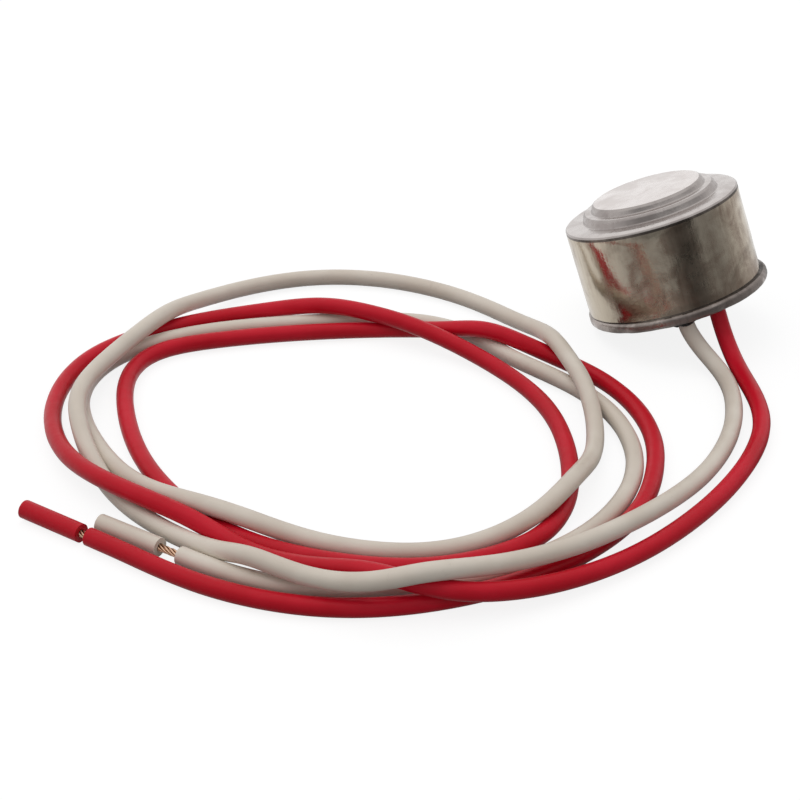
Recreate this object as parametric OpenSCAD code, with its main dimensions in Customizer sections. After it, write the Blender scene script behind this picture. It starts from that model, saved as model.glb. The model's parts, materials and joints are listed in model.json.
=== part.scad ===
// Defrost thermostat: a disc switch potted in a drawn tin can, with two long loose leads.
// The can leans on one edge of its open end, as it was set down. Millimetres, +Z up,
// origin on the floor under the middle of the can.

/* [Can] */
// Outer diameter of the straight wall
can_d = 30.2; // [29:0.1:32]
// Height from the rim to the sensing face
can_h = 20; // [19.6:0.1:21]
// Thickness of the drawn sheet
can_wall = 0.5; // [0.4:0.05:0.6]
// Height of the lower step, from the shoulder to the middle ring
ring_step = 1.4; // [1.2:0.1:1.6]
// Height of the upper step, from the middle ring to the sensing face
face_step = 1.3; // [1.2:0.1:1.5]
// Width of the middle ring between the steps
ring_w = 1.9; // [1.7:0.1:2.2]
// Clearance around the switch inside the upper step
face_side = 0.7; // [0.5:0.05:0.9]
// How far the rolled lip stands out from the wall
lip_out = 0.45; // [0.3:0.05:0.7]
// Height of the rolled lip
lip_h = 1.5; // [1.3:0.1:1.8]
// How far each step leans in over its height
step_lean = 0.35; // [0.2:0.05:0.5]

/* [Pose] */
// Tilt of the can from upright, in degrees
tilt = 21.7; // [18:0.1:24]
// Compass angle that the closed end leans to
lean = 146; // [140:1:152]

/* [Switch] */
// Outer diameter of the cup that holds the switch together
cup_d = 17.6; // [17.2:0.1:18]
// Thickness of the cup
cup_wall = 0.4; // [0.3:0.05:0.5]
// Diameter of the snap disc
disc_d = 12.7; // [12:0.1:13]
// Thickness of the snap disc
disc_t = 0.2; // [0.15:0.05:0.3]
// Depth of the snap disc's dome
disc_dome = 0.45; // [0.3:0.05:0.5]
// Diameter of the transfer pin
pin_d = 1.6; // [1.4:0.1:2]
// Running clearance of the pin in its guide, on the radius
pin_gap = 0.05; // [0.02:0.01:0.08]
// Travel of the pin between open and closed contacts
stroke = 0.3; // [0.25:0.01:0.35]
// Height of the base
base_h = 6.8; // [6.6:0.1:7.6]
// How far the base's flange stands out over its lower part
flange_w = 0.8; // [0.6:0.1:1]
// Thickness of the wall of the base
base_wall = 1; // [0.8:0.1:1.1]
// Thickness of the floor of the base
floor_t = 1.3; // [1:0.1:1.5]
// Length of the foot that carries the arm
foot_l = 1.8; // [1.7:0.1:2]
// Diameter of the contact buttons
contact_d = 2.2; // [1.8:0.1:2.4]
// Width of the arm and the terminals
strip_w = 3; // [2.4:0.1:3.2]
// Thickness of the contact arm
arm_t = 0.25; // [0.2:0.05:0.3]
// Thickness of the terminals
terminal_t = 0.8; // [0.6:0.1:0.8]

/* [Leads] */
// Outer diameter of the insulation
wire_d = 2.8; // [2.6:0.05:2.8]
// Diameter of the bundle of copper strands
strand_d = 1.2; // [1:0.1:1.4]
// Length of the loose slug of insulation on each tip
slug_l = 11; // [9:0.5:12]
// Bare copper between red insulation and slug
red_bare = 1.5; // [1:0.5:3]
// Bare copper between white insulation and slug
white_bare = 3.7; // [2:0.1:4]
// Distance from the can's wall to the middle of the white lead
white_side = 2.4; // [2.3:0.1:2.6]
// Distance from the can's wall to the middle of the red lead
red_side = 3.4; // [2.6:0.1:3.6]
// Angle between the two leads around the can
lead_angle = 30; // [27:1:34]
// Outer diameter of the resin collar around a lead
collar_d = 4.2; // [3.8:0.1:4.4]

/* [Hidden] */
$fn = 96;

// Can: heights of the steps, radii, and corner radii on the outer side
ring_h = can_h - face_step;
shoulder_h = ring_h - ring_step;
wall_r = can_d / 2;
can_in = wall_r - can_wall;
face_r = cup_d / 2 + face_side + can_wall;
ring_r = face_r + ring_w;
lip_r = wall_r + lip_out;
shoulder_f = 0.9;
step_f = 0.3;
lip_f = 0.5;
lip_back = 0.25;
face_lean = step_lean * face_step / ring_step;

// Switch, from the sensing face down: cup, snap disc on its seat, guide, base
cup_r = cup_d / 2;
cup_in = cup_r - cup_wall;
cup_top = can_h - can_wall;
guide_top = cup_top - cup_wall;
disc_room = 0.75;
disc_r = disc_d / 2;
disc_bend = (disc_r * disc_r + disc_dome * disc_dome) / (2 * disc_dome);
seat_w = 0.45;
seat_in = disc_r - seat_w;
seat_side = 0.15;
seat_gap = 0.02;
disc_seat = guide_top - disc_room;
disc_low = disc_seat + seat_gap - disc_bend + sqrt(disc_bend * disc_bend - seat_in * seat_in);
guide_deep = 0.85;
guide_floor = disc_seat - guide_deep;
guide_t = 1.2;
body_top = guide_floor - guide_t;
body_low = body_top - base_h;
flange_h = 2.8;
crimp_h = 0.4;
crimp_low = body_top - flange_h - crimp_h;
base_r = cup_in - flange_w;
chamber_r = base_r - base_wall;
chamber_low = body_low + floor_t;

// Terminals and arm, across the base: leg, foot, pin, contacts, leg
leg_side = 0.5;
leg_out = chamber_r - leg_side;
leg_in = leg_out - terminal_t;
arm_root = leg_in - foot_l;
tip_gap = 0.2;
tip_over = 0.1;
arm_end = leg_in - tip_gap;
contact_x = arm_end - tip_over - contact_d / 2;
arm_swing = atan(stroke / arm_root);
shank_d = 1;

// Contacts and pin, from the base's top down to the arm
button_t = 0.5;
plate_t = 0.4;
plate_gap = 0.27;
plate_low = body_top - plate_gap - plate_t;
fixed_low = plate_low - button_t;
contact_gap = (arm_root + contact_x + contact_d / 2) * tan(arm_swing) + 0.05;
arm_top = fixed_low - contact_gap - button_t;
arm_low = arm_top - arm_t;
pin_tip = 0.5;
pin_point = 0.3;
pin_play = 0.07;
pin_low = arm_top + pin_play;
pillar_w = 2.2;
root_gap = 0.05;
rivet_x = (leg_in + arm_root + root_gap) / 2;
rivet_d = 0.8;
rivet_head_d = 1.4;
rivet_head_h = 0.4;
rivet_low = chamber_low + 0.6;

// Strap and sleeve that join each lead to its terminal, in the resin
strap_drop = 4.1;
strap_low = body_low - strap_drop;
strap_t = 0.6;
strap_w = 2;
strip_gap = 0.4;
strip_h = strap_low - strip_gap;
sleeve_h = 3.6;
sleeve_wall = 0.45;

// Resin, from near the open end to just under the cup's crimp
resin_low = 1.7;
resin_gap = 0.7;
resin_top = crimp_low - resin_gap;
collar_low = -0.4;

// Where each lead leaves, in the can's own frame
white_at = [0, white_side - can_in];
red_at = (can_in - red_side) * [sin(lead_angle), -cos(lead_angle)];
straight_h = 2;

// Place of the can: the lip's lowest point on the floor, the box's middle over the origin
axis_n = [sin(tilt) * cos(lean), sin(tilt) * sin(lean), cos(tilt)];
function reach(d, r, h, f) = (h - f) * d + (r - f) * sqrt(1 - d * d) + f;
function low_reach(d, r, f) = -f * d + (r - f) * sqrt(1 - d * d) + f;
can_x = (reach(-axis_n[0], wall_r, shoulder_h, shoulder_f) - low_reach(-axis_n[0], lip_r, lip_f)) / 2;
can_y = -(reach(axis_n[1], wall_r, shoulder_h, shoulder_f) - low_reach(axis_n[1], lip_r, lip_f)) / 2;
can_z = (lip_r - lip_f) * sin(tilt) + lip_f * (1 - cos(tilt));
can_at = [can_x, can_y, can_z];

function turn_z(p, a) = [p[0] * cos(a) - p[1] * sin(a), p[0] * sin(a) + p[1] * cos(a), p[2]];
function turn_y(p, a) = [p[0] * cos(a) + p[2] * sin(a), p[1], p[2] * cos(a) - p[0] * sin(a)];
function placed(p) = can_at + turn_z(turn_y(turn_z(p, -lean), tilt), lean);
function start_of(at) = [placed([at[0], at[1], strip_h]), placed([at[0], at[1], 0]),
                         placed([at[0], at[1], -straight_h])];

// Routes of the leads on the floor, each strand over or beside the ones it crosses
red_points = [
    [8.8, -12.7, 5.1], [9.8, -15.8, 2.9], [10.8, -20.4, 1.7], [12.1, -27, 1.4], [12.3, -35, 1.4], [9.4, -44.5, 1.4],
    [2, -57.2, 1.4], [-9.6, -70, 1.5], [-20.5, -77.4, 2], [-29.5, -81.6, 3], [-37.5, -83.8, 4.4],
    [-44, -81.6, 4.7], [-50, -78.5, 4.6], [-57, -76, 2.8], [-66, -71.3, 1.4], [-73.3, -65.8, 3.3],
    [-80, -62.4, 4.5], [-88.5, -57, 4.6], [-97, -46.6, 2.8], [-101.3, -31, 1.4],
    [-98.9, -16.8, 1.4], [-91.5, -8.4, 1.4], [-80.3, -1.9, 1.4], [-68.5, 0.6, 2], [-58.5, -1.4, 4.6],
    [-50, -4.9, 4.6], [-42, -8.6, 4], [-31, -15.3, 1.5], [-21.5, -28.5, 1.4], [-19, -43, 1.4],
    [-19.6, -55, 1.4], [-22.6, -64, 1.4], [-29, -70.4, 1.4], [-41, -74.8, 1.4], [-54, -73.2, 1.4],
    [-66.3, -68.7, 1.4], [-77, -59.3, 1.4], [-85, -46, 1.4], [-89, -32, 1.4], [-90.3, -20.5, 1.4],
    [-86.6, -12.2, 1.4], [-77, -8.8, 1.4], [-62, -6, 1.4], [-46, -4.9, 1.4], [-37.5, -7.2, 2.4],
    [-31, -10.6, 5], [-25, -13, 3.4], [-19.2, -14.8, 1.4], [-12.8, -20.8, 1.4], [-8, -28.7, 1.4],
    [-5.7, -37.5, 1.4], [-5.8, -47, 1.4], [-9.6, -60.9, 1.4], [-19.2, -71.2, 1.4],
    [-28, -77.2, 1.4], [-37, -81, 1.4], [-48, -83.5, 1.4], [-60, -82.9, 1.4], [-73, -78.2, 1.4],
    [-84, -70.2, 1.4], [-89.5, -66.5, 1.4]];
white_points = [
    [4.9, -15.3, 3.2], [8, -19.8, 1.4], [8.8, -27.5, 1.4], [7, -38.5, 1.4], [1.4, -50, 1.4],
    [-6, -60, 3], [-12.2, -67.5, 4.7], [-20, -73.2, 4.7], [-29, -77.6, 5], [-36, -81.2, 6.6],
    [-42, -83.6, 7.8], [-48, -84, 6.3], [-54, -82.2, 4.9], [-60, -79.3, 4.5], [-66, -75.4, 4.8],
    [-70, -72, 2.7], [-74.5, -68.2, 1.4], [-80, -64, 1.4], [-86.8, -57, 1.4], [-92, -47.6, 2.2],
    [-95.4, -38.5, 4.5], [-96.3, -29.8, 4.6], [-93.2, -20.8, 4.4], [-88.5, -12, 4.9],
    [-84.5, -4, 4.7], [-80, 3, 2.8], [-72, 11, 1.4], [-60, 15.2, 1.4], [-46, 13.7, 1.4],
    [-33, 6.6, 1.4], [-25, -2.6, 1.6], [-21.4, -9.6, 3.8], [-19.4, -15, 5.1], [-17.4, -21, 4.4],
    [-15.6, -27.6, 4.4], [-14.5, -34.5, 2.2], [-14.8, -41.5, 1.4], [-16.2, -48, 2.4],
    [-18.6, -54.2, 4.4], [-21.9, -60.4, 4.8], [-26, -64.4, 3.2], [-33, -68, 1.4], [-43, -71.4, 1.4],
    [-57, -68.8, 1.6], [-67, -65.3, 3.9], [-74.5, -62.3, 4.6], [-81.2, -57.7, 3.2],
    [-87.3, -50, 1.4], [-92.7, -41, 1.4], [-97.2, -29, 1.4], [-95.3, -18, 1.4], [-88.4, -10.2, 1.4],
    [-77.5, -5.2, 1.4], [-62, -2.5, 1.4], [-48.5, -1.7, 1.4], [-40.5, -2.2, 1.4], [-32.5, -6.7, 1.4],
    [-27.4, -14.3, 1.4], [-20.8, -20.2, 1.4], [-15, -26.2, 1.4], [-10.6, -34, 1.4], [-8.8, -44, 1.4],
    [-10.2, -53, 1.4], [-14.3, -61.1, 1.4], [-20.2, -68, 1.4], [-28.6, -73.6, 1.4], [-36, -76.6, 1.4],
    [-44, -78, 1.4], [-52, -79, 1.4], [-60, -78.9, 1.4], [-69.2, -75.5, 1.4], [-76, -71.1, 1.4]];
red_route = concat(start_of(red_at), red_points);
white_route = concat(start_of(white_at), white_points);
lead_rings = 80;
lead_sides = 8;

// Smooth curve that the points of a route pull along, at the share s of its way
function beyond(p, i) = i < 0 ? 2 * p[0] - p[1] : i >= len(p) ? 2 * p[len(p) - 1] - p[len(p) - 2] : p[i];
function blend(a, b, c, d, t) =
    (pow(1 - t, 3) * a + (3 * pow(t, 3) - 6 * t * t + 4) * b
     + (3 * t * t + 3 * t + 1 - 3 * pow(t, 3)) * c + pow(t, 3) * d) / 6;
function along(p, s) =
    let (u = s * (len(p) - 1), i = min(floor(u), len(p) - 2))
    blend(beyond(p, i - 1), p[i], p[i + 1], beyond(p, i + 2), u - i);
function unit(v) = v / norm(v);
function heading(p, s) = unit(along(p, min(1, s + 0.001)) - along(p, max(0, s - 0.001)));
function side_of(t) = unit(cross([0, 0, 1], t));
function tip_dir(p) = unit(p[len(p) - 1] - p[len(p) - 2]);

// Outline with rounded corners: each corner is [radius out, height, corner radius]
function arc_steps(turn) = max(2, ceil(abs(turn) / 15));
function rounded(c) = [for (i = [0 : len(c) - 1])
    let (p = [c[i][0], c[i][1]],
         q = c[(i + len(c) - 1) % len(c)],
         r = c[(i + 1) % len(c)],
         a = unit([q[0], q[1]] - p),
         b = unit([r[0], r[1]] - p),
         f = c[i][2])
    for (v = f == 0 ? [p] : fillet(p, a, b, f)) v];
function fillet(p, a, b, f) =
    let (half = acos(a * b) / 2,
         mid = p + unit(a + b) * f / sin(half),
         from = p + a * f / tan(half) - mid,
         to = p + b * f / tan(half) - mid,
         start = atan2(from[1], from[0]),
         raw = atan2(to[1], to[0]) - start,
         turn = raw > 180 ? raw - 360 : raw < -180 ? raw + 360 : raw,
         n = arc_steps(turn))
    [for (k = [0 : n]) mid + f * [cos(start + turn * k / n), sin(start + turn * k / n)]];

module place() {
    translate(can_at) rotate([0, tilt, lean]) rotate([0, 0, -lean]) children();
}

module revolve(corners) {
    rotate_extrude($fn = 144) polygon(rounded(corners));
}

// Box that spans x0 to x1 and z0 to z1, centred across the strip
module strip(x0, x1, z0, z1, w = strip_w) {
    translate([x0, -w / 2, z0]) cube([x1 - x0, w, z1 - z0]);
}

// Drawn can: rolled lip, straight wall, shoulder and two steps up to the sensing face
module can() {
    w = can_wall;
    color([0.62, 0.60, 0.55]) place() revolve([
        [0, can_h, 0],
        [face_r - face_lean, can_h, step_f + w],
        [face_r, ring_h, step_f],
        [ring_r - step_lean, ring_h, step_f + w],
        [ring_r, shoulder_h, step_f],
        [wall_r, shoulder_h, shoulder_f],
        [wall_r, lip_h, lip_back],
        [lip_r, lip_h, lip_f],
        [lip_r, 0, lip_f],
        [can_in, 0, lip_back],
        [can_in, shoulder_h - w, shoulder_f - w],
        [ring_r - w, shoulder_h - w, step_f + w],
        [ring_r - step_lean - w, ring_h - w, step_f],
        [face_r - w, ring_h - w, step_f + w],
        [face_r - face_lean - w, can_h - w, step_f],
        [0, can_h - w, 0]]);
}

// Aluminium cup that holds disc, guide and base together, crimped in under the flange
module sensing_cup() {
    color([0.78, 0.79, 0.80]) place() revolve([
        [0, cup_top, 0],
        [cup_r, cup_top, cup_wall + 0.3],
        [cup_r, crimp_low, 0.3],
        [base_r, crimp_low, 0],
        [base_r, crimp_low + crimp_h, 0],
        [cup_in, crimp_low + crimp_h, 0],
        [cup_in, guide_top, 0.3],
        [0, guide_top, 0]]);
}

// Snap disc, domed towards the pin as it is at room temperature
module bimetal_disc() {
    sweep = asin(disc_r / disc_bend);
    color([0.72, 0.60, 0.38]) place()
        translate([0, 0, disc_low + disc_bend])
        rotate_extrude() polygon(concat(
            [for (k = [0 : 12]) disc_bend * [sin(sweep * k / 12), -cos(sweep * k / 12)]],
            [for (k = [12 : -1 : 0]) (disc_bend - disc_t) * [sin(sweep * k / 12), -cos(sweep * k / 12)]]));
}

// Guide plate with the seat for the disc's edge and the bore for the pin
module pin_guide() {
    seat_out = disc_r + seat_side;
    color([0.86, 0.82, 0.72]) place() difference() {
        revolve([
            [0, body_top, 0],
            [cup_in, body_top, 0],
            [cup_in, guide_top, 0.3],
            [seat_out, guide_top, 0],
            [seat_out, disc_seat, 0],
            [seat_in, disc_seat, 0],
            [seat_in, guide_floor, 0.3],
            [0, guide_floor, 0]]);
        translate([0, 0, body_top - 1]) cylinder(h = guide_t + 2, d = pin_d + 2 * pin_gap);
    }
}

// Ceramic pin between disc and arm, with a blunt point at the arm
module transfer_pin() {
    top = disc_low - 0.01;
    color([0.94, 0.93, 0.88]) place() union() {
        translate([0, 0, pin_low + pin_point]) cylinder(h = top - pin_low - pin_point, d = pin_d);
        translate([0, 0, pin_low]) cylinder(h = pin_point, d1 = pin_tip, d2 = pin_d);
    }
}

// Moulded base: flange in the cup, chamber for the contacts, pillar under the arm's root
module switch_body() {
    color([0.20, 0.13, 0.10]) place() difference() {
        union() {
            difference() {
                union() {
                    translate([0, 0, body_low]) cylinder(h = body_top - body_low, r = base_r);
                    translate([0, 0, body_top - flange_h]) cylinder(h = flange_h, r = cup_in);
                }
                translate([0, 0, chamber_low]) cylinder(h = body_top, r = chamber_r);
            }
            strip(-leg_in, -arm_root - root_gap, chamber_low - 0.1, arm_low, pillar_w);
        }
        strip(-leg_out, -leg_in, body_low - 1, chamber_low + 1);
        strip(leg_in, leg_out, body_low - 1, chamber_low + 1);
        translate([-rivet_x, 0, rivet_low]) cylinder(h = arm_low, d = rivet_d, $fn = 32);
    }
}

// Spring arm, level while the contacts are open
module contact_arm() {
    color([0.80, 0.55, 0.32]) place() difference() {
        strip(-arm_root, arm_end, arm_low, arm_top);
        translate([contact_x, 0, arm_low - 1]) cylinder(h = arm_t + 2, d = shank_d, $fn = 32);
    }
}

// Button on a shank that is spread on the far side of the strip that holds it
module contact_rivet(strip_t) {
    cylinder(h = button_t, d = contact_d, $fn = 48);
    translate([0, 0, -strip_t]) cylinder(h = strip_t, d = shank_d, $fn = 32);
    translate([0, 0, -strip_t - 0.2]) cylinder(h = 0.2, d = shank_d + 0.5, $fn = 32);
}

module moving_contact() {
    color([0.85, 0.85, 0.86]) place() translate([contact_x, 0, arm_top]) contact_rivet(arm_t);
}

module fixed_contact() {
    color([0.85, 0.85, 0.86]) place()
        translate([contact_x, 0, plate_low]) mirror([0, 0, 1]) contact_rivet(plate_t);
}

// Terminal that carries the arm: a foot on the pillar and a leg down through the floor
module line_terminal() {
    color([0.80, 0.65, 0.30]) place() difference() {
        union() {
            strip(-leg_out, -arm_root - root_gap, arm_low, arm_top);
            strip(-leg_out, -leg_in, strap_low + strap_t, arm_top);
        }
        translate([-rivet_x, 0, arm_low - 1]) cylinder(h = arm_t + 2, d = rivet_d, $fn = 32);
    }
}

// Terminal that holds the fixed contact over the tip of the arm
module load_terminal() {
    color([0.80, 0.65, 0.30]) place() difference() {
        union() {
            strip(contact_x - contact_d / 2, leg_out, plate_low, plate_low + plate_t);
            strip(leg_in, leg_out, strap_low + strap_t, plate_low + plate_t);
        }
        translate([contact_x, 0, plate_low - 1]) cylinder(h = plate_t + 2, d = shank_d, $fn = 32);
    }
}

// Rivet that holds the foot of the line terminal to the pillar
module line_rivet() {
    color([0.78, 0.70, 0.48]) place() translate([-rivet_x, 0, 0]) {
        translate([0, 0, rivet_low]) cylinder(h = arm_top - rivet_low, d = rivet_d, $fn = 32);
        translate([0, 0, arm_top]) cylinder(h = rivet_head_h, d = rivet_head_d, $fn = 32);
    }
}

// Sleeve on a bared lead end, with a strap to the foot of a terminal leg
module splice_solid(at, leg_x) {
    way = [leg_x, 0] - at;
    difference() {
        union() {
            translate([at[0], at[1], strap_low]) cylinder(h = sleeve_h, d = strand_d + 2 * sleeve_wall, $fn = 32);
            translate([at[0], at[1], strap_low]) rotate([0, 0, atan2(way[1], way[0])])
                strip(0, norm(way) + strap_w / 2, 0, strap_t, strap_w);
        }
        if ($children > 0) children();
    }
}

module splice(at, leg_x) {
    splice_solid(at, leg_x)
        translate([at[0], at[1], strap_low - 1]) cylinder(h = sleeve_h + 2, d = strand_d, $fn = 32);
}

module white_splice() {
    color([0.75, 0.74, 0.70]) place() splice(white_at, terminal_t / 2 - leg_out);
}

module red_splice() {
    color([0.75, 0.74, 0.70]) place() splice(red_at, leg_out - terminal_t / 2);
}

// Bare end of a lead inside its sleeve
module core(at) {
    color([0.80, 0.52, 0.34]) place()
        translate([at[0], at[1], strip_h]) cylinder(h = strap_low + sleeve_h - strip_h, d = strand_d, $fn = 32);
}

module white_core() {
    core(white_at);
}

module red_core() {
    core(red_at);
}

// Dark resin that fills the can around the base, with a collar around each lead
module potting() {
    color([0.09, 0.09, 0.09]) place() difference() {
        union() {
            revolve([
                [0, resin_low, 0],
                [can_in - 1.2, resin_low, 2],
                [can_in, resin_low - 0.9, 0],
                [can_in, resin_top, 0],
                [0, resin_top, 0]]);
            for (at = [white_at, red_at])
                translate([at[0], at[1], collar_low])
                    cylinder(h = resin_low - collar_low + 0.5, d1 = collar_d - 0.6, d2 = collar_d, $fn = 48);
        }
        translate([0, 0, body_low]) cylinder(h = resin_top, r = base_r);
        strip(-leg_out, -leg_in, strap_low + strap_t - 0.1, resin_top);
        strip(leg_in, leg_out, strap_low + strap_t - 0.1, resin_top);
        splice_solid(white_at, terminal_t / 2 - leg_out);
        splice_solid(red_at, leg_out - terminal_t / 2);
        for (at = [white_at, red_at])
            translate([at[0], at[1], collar_low - 1]) cylinder(h = strap_low - collar_low + 1.1, d = wire_d, $fn = 48);
    }
}

// Insulated wire, swept along its route
module lead(route) {
    ring_points = [for (k = [0 : lead_rings - 1])
        let (s = k / (lead_rings - 1),
             mid = along(route, s),
             ahead = heading(route, s),
             side = side_of(ahead),
             up = cross(ahead, side))
        for (j = [0 : lead_sides - 1])
            mid + wire_d / 2 * (cos(360 * j / lead_sides) * side + sin(360 * j / lead_sides) * up)];
    wall_faces = [for (k = [0 : lead_rings - 2]) for (j = [0 : lead_sides - 1])
        let (a = k * lead_sides + j,
             b = k * lead_sides + (j + 1) % lead_sides,
             c = a + lead_sides,
             d = b + lead_sides)
        for (f = [[a, c, b], [b, c, d]]) f];
    first_cap = [for (j = [0 : lead_sides - 1]) j];
    last_cap = [for (j = [lead_sides - 1 : -1 : 0]) (lead_rings - 1) * lead_sides + j];
    polyhedron(points = ring_points, faces = concat(wall_faces, [first_cap], [last_cap]));
}

module white_lead() {
    color([0.80, 0.77, 0.72]) lead(white_route);
}

module red_lead() {
    color([0.70, 0.07, 0.12]) lead(red_route);
}

// Straight round piece that goes on from the end of a lead
module beyond_tip(route, from, to, d) {
    ahead = tip_dir(route);
    translate(route[len(route) - 1] + from * ahead)
        rotate([0, 90, atan2(ahead[1], ahead[0])])
        cylinder(h = to - from, d = d, $fn = 48);
}

module strands(route, bare) {
    color([0.80, 0.52, 0.34]) beyond_tip(route, 0, bare + slug_l, strand_d);
}

module slug(route, bare) {
    difference() {
        beyond_tip(route, bare, bare + slug_l, wire_d);
        beyond_tip(route, bare - 1, bare + slug_l + 1, strand_d);
    }
}

module white_strands() {
    strands(white_route, white_bare);
}

module red_strands() {
    strands(red_route, red_bare);
}

module white_slug() {
    color([0.80, 0.77, 0.72]) slug(white_route, white_bare);
}

module red_slug() {
    color([0.70, 0.07, 0.12]) slug(red_route, red_bare);
}

can();
sensing_cup();
bimetal_disc();
pin_guide();
transfer_pin();
switch_body();
contact_arm();
moving_contact();
fixed_contact();
line_terminal();
load_terminal();
line_rivet();
white_splice();
red_splice();
white_core();
red_core();
potting();
white_lead();
red_lead();
white_strands();
red_strands();
white_slug();
red_slug();
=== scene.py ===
import json
import bpy
import bmesh
from math import cos, pi, radians, sin
from mathutils import Matrix, Vector


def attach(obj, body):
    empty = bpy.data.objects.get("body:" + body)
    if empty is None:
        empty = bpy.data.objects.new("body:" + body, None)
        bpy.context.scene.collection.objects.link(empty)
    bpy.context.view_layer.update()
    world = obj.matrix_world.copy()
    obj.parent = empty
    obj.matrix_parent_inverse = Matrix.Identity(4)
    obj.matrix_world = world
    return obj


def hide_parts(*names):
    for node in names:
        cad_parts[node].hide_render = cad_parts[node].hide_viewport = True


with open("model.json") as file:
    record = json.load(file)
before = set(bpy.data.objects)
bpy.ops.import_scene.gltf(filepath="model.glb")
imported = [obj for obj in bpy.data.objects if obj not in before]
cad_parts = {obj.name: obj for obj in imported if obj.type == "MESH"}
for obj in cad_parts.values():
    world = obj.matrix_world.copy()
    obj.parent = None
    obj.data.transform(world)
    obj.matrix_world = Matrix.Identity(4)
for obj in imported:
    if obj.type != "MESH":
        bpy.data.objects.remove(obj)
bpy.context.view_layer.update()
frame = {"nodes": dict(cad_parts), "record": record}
scene = bpy.context.scene
nodes = frame["nodes"]
mounts = {m["name"]: m for m in frame["record"]["mounts"]}
mm = 0.001
tiny = 1e-6      # m, closer than this counts as level
colours = ("white", "red")
print("frame loaded:", len(nodes), "nodes")


def deselectAll():
    if bpy.context.object and bpy.context.object.mode != "OBJECT":
        bpy.ops.object.mode_set(mode="OBJECT")
    bpy.ops.object.select_all(action="DESELECT")


def makeActive(obj):
    deselectAll()
    obj.select_set(True)
    bpy.context.view_layer.objects.active = obj


def applyPlace():
    bpy.ops.object.transform_apply(location=True, rotation=True, scale=True)


def aimAt(obj, target):
    way = Vector(target) - obj.location
    obj.rotation_mode = "QUATERNION"
    obj.rotation_quaternion = way.to_track_quat("-Z", "Y")


studio = {
    "cameraPlace": (-0.0451, -0.2828, 0.1541),
    "cameraAim": (-0.0451, -0.02627, 0.0),
    "lens": 83.2,
    "sensor": 36,
    "clip": (0.01, 50),                # nearest and farthest thing the camera sees
    "keyPlace": (-0.30, 0.10, 0.80),
    "keyPower": 2.6,
    "fillPlace": (0.45, 0.35, 0.6),
    "fillPower": 0.5,
    "lampAim": (-0.03, -0.03, 0.0),
    "lampSize": 1.0,
    "worldLight": 0.55,
    "floorSize": 12,
    "floorGap": 0.0001,
    "floorShade": 0.2,                 # share of the floor's white that can go dark in a shadow
    "floorGlow": 0.855,
    "dimSide": (0.38, -0.925, 0.0),    # the room is dimmer behind the camera, seen in metal only
    "dimEdge": (-0.35, 0.75),
    "dimTo": 0.31,
    "flagSide": (0.45, -0.893, 0.0),   # and darkest where the camera stands
    "flagEdge": (0.935, 0.982),
    "flagTo": 0.14,
    "highEdge": (0.45, 0.9),           # steep rays find the bright ceiling again
}

deselectAll()
bpy.ops.object.camera_add(location=studio["cameraPlace"])
camera = bpy.context.object
camera.name = "photoCamera"
camera.data.lens = studio["lens"]
camera.data.sensor_width = studio["sensor"]
camera.data.clip_start, camera.data.clip_end = studio["clip"]
aimAt(camera, studio["cameraAim"])
scene.camera = camera


def softLamp(name, place, power):
    bpy.ops.object.light_add(type="AREA", location=place)
    lamp = bpy.context.object
    lamp.name = name
    lamp.data.shape = "DISK"
    lamp.data.size = studio["lampSize"]
    lamp.data.energy = power
    lamp.visible_glossy = False        # the metal mirrors the room, not the lamp
    aimAt(lamp, studio["lampAim"])


softLamp("keyLamp", studio["keyPlace"], studio["keyPower"])
softLamp("fillLamp", studio["fillPlace"], studio["fillPower"])

scene.view_settings.view_transform = "Standard"


vectorKind = "NodeSocketVector"
colorKind = "NodeSocketColor"
floatKind = "NodeSocketFloat"


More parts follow.
